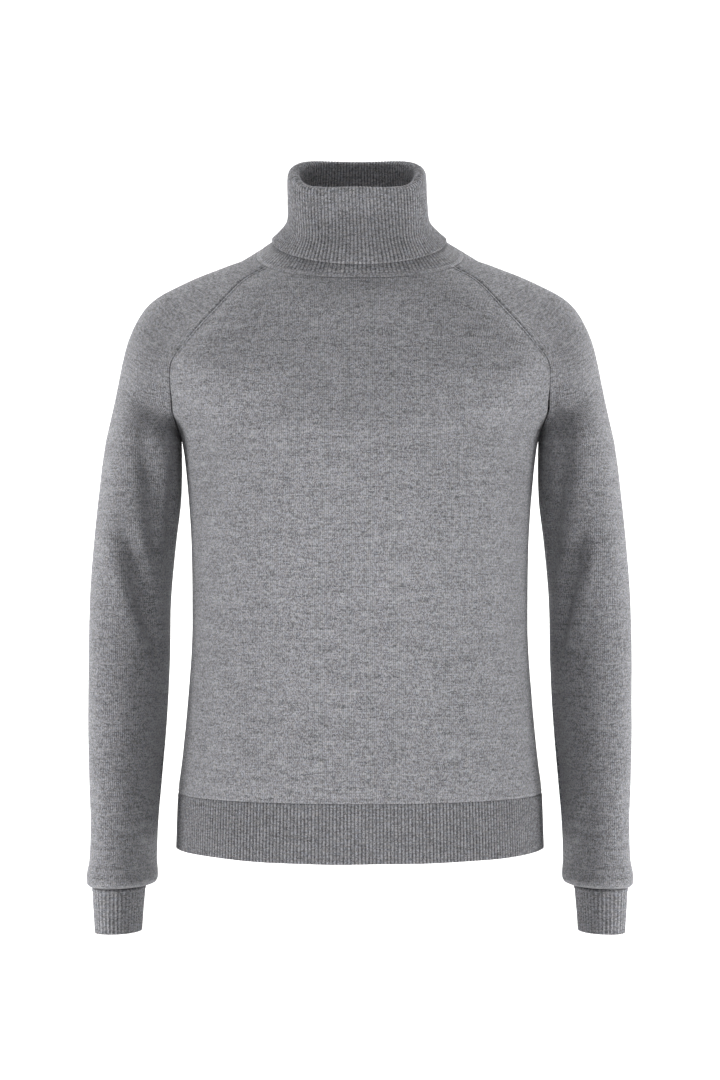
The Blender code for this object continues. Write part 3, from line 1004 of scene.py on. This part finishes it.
def camera():
    data = bpy.data.cameras.new("camera")
    data.lens = LENS
    data.sensor_width = 36.0
    eye = bpy.data.objects.new("camera", data)
    eye.location = (0.0, -CAMERA_AWAY, CAMERA_HEIGHT)
    eye.rotation_euler = (math.pi / 2, 0.0, 0.0)
    bpy.context.collection.objects.link(eye)
    bpy.context.scene.camera = eye


# ---------------------------------------------------------------- making

# Soft ridges (depth over 0) and troughs (under 0) of the cloth. Across is the way round from the centre
# line, or on a sleeve from its outer line toward the front; height is measured up from the shoulder.
CREASE_COLUMNS = "across height to_across to_height width depth bow"
FRONT_CREASES = [
    (-176, -118, -166, -262, 20, -3.4, 4),
    (174, -122, 168, -252, 21, -3.2, -4),
    (-158, -186, -70, -158, 8, -0.9, 4),
    (-150, -206, -62, -190, 11, 0.8, 3),
    (-139, -160, -48, -133, 7, -0.6, -3),
    (155, -188, 82, -166, 9, -0.8, -4),
    (146, -214, 74, -205, 10, 0.7, 2),
    (134, -152, 52, -140, 6, -0.6, 3),
    (-40, -118, 58, -112, 8, 0.5, 4),
    (-76, -92, 12, -84, 6, -0.45, -3),
    (-120, -430, -104, -508, 13, 0.9, 4),
    (112, -418, 128, -506, 12, 0.9, -5),
    (-30, -462, -18, -512, 14, 0.5, 0),
]
BACK_CREASES = [
    (-150, -196, -64, -232, 12, 1.1, 6),
    (-142, -178, -60, -198, 10, -1.0, 5),
    (148, -190, 76, -238, 13, 1.0, -7),
    (140, -172, 66, -190, 9, -0.9, -4),
    (-58, -330, -80, -500, 22, 1.2, 6),
    (52, -350, 86, -498, 20, 1.3, -8),
    (4, -120, -2, -300, 26, -1.2, 3),
]
RIGHT_CREASES = [
    (66, -112, 88, -250, 12, -4.4, 4),
    (88, -186, 103, -312, 11, -6.0, -3),
    (104, -158, 106, -252, 8, 2.6, 2),
    (60, -240, 110, -404, 11, -9.0, -5),
    (46, -252, 92, -402, 10, 2.0, -5),
    (40, -240, 58, -330, 12, 1.2, 4),
    (112, -180, 126, -330, 12, -4.0, 0),
    (104, -372, 100, -560, 20, -3.4, 3),
    (58, -470, 84, -560, 10, -1.3, 4),
    (30, -330, 22, -460, 16, 1.2, 4),
    (-60, -270, -86, -372, 12, -3.6, 4),
    (-92, -330, -90, -480, 19, -4.0, 0),
    (-30, -330, -20, -410, 14, 1.5, 0),
]
LEFT_CREASES = [
    (78, -108, 104, -262, 12, -4.6, 3),
    (102, -188, 122, -326, 12, -6.2, -3),
    (68, -246, 114, -404, 11, -8.8, 4),
    (54, -256, 96, -402, 10, 2.0, 4),
    (40, -268, 60, -352, 12, 1.0, 3),
    (118, -176, 128, -330, 11, -3.6, 0),
    (108, -376, 100, -566, 20, -3.6, 3),
    (52, -500, 80, -572, 10, -1.2, -3),
    (28, -310, 24, -440, 17, 1.1, -3),
    (-56, -280, -92, -360, 11, -3.6, -3),
    (-90, -350, -92, -470, 18, -4.0, 0),
    (-34, -300, -26, -400, 13, 1.4, 0),
]


def main():
    jersey = knit("jersey", TORSO_TONE, painted_groove_shade=0.35, marl=0.44, streak=0.27)
    rib = knit("rib", RIB_TONE, painted_groove_shade=0.80, marl=0.46, streak=0.12, legs=3.0)
    fine_rib = knit("fine_rib", COLLAR_TONE, painted_groove_shade=0.70, marl=0.46, streak=0.14, legs=3.0)
    cuff_rib = knit("cuff_rib", CUFF_TONE, painted_groove_shade=0.48, marl=0.48, streak=0.12, legs=3.0)
    band = knit("linking", BAND_TONE, painted_groove_shade=0.35, marl=0.40, streak=0.10, relief=BAND_STITCH_HEIGHT)
    panel("front_knit", "front", "front", FRONT_CREASES, jersey)
    panel("back_knit", "back", "back", BACK_CREASES, jersey)
    sleeve("sleeve_left_knit", "sleeve_left", 1, LEFT_CREASES, jersey)
    sleeve("sleeve_right_knit", "sleeve_right", -1, RIGHT_CREASES, jersey)
    for facing in ("front", "back"):
        hem_rib("hem_" + facing + "_knit", "hem_rib_" + facing, facing, rib)
    for word, side in (("left", 1), ("right", -1)):
        cuff("cuff_" + word + "_knit", "cuff_" + word, side, cuff_rib)
    neck_band("neck_band_knit", "neck_band", band)
    collar("collar_knit", "collar", fine_rib)
    room()
    camera()


main()
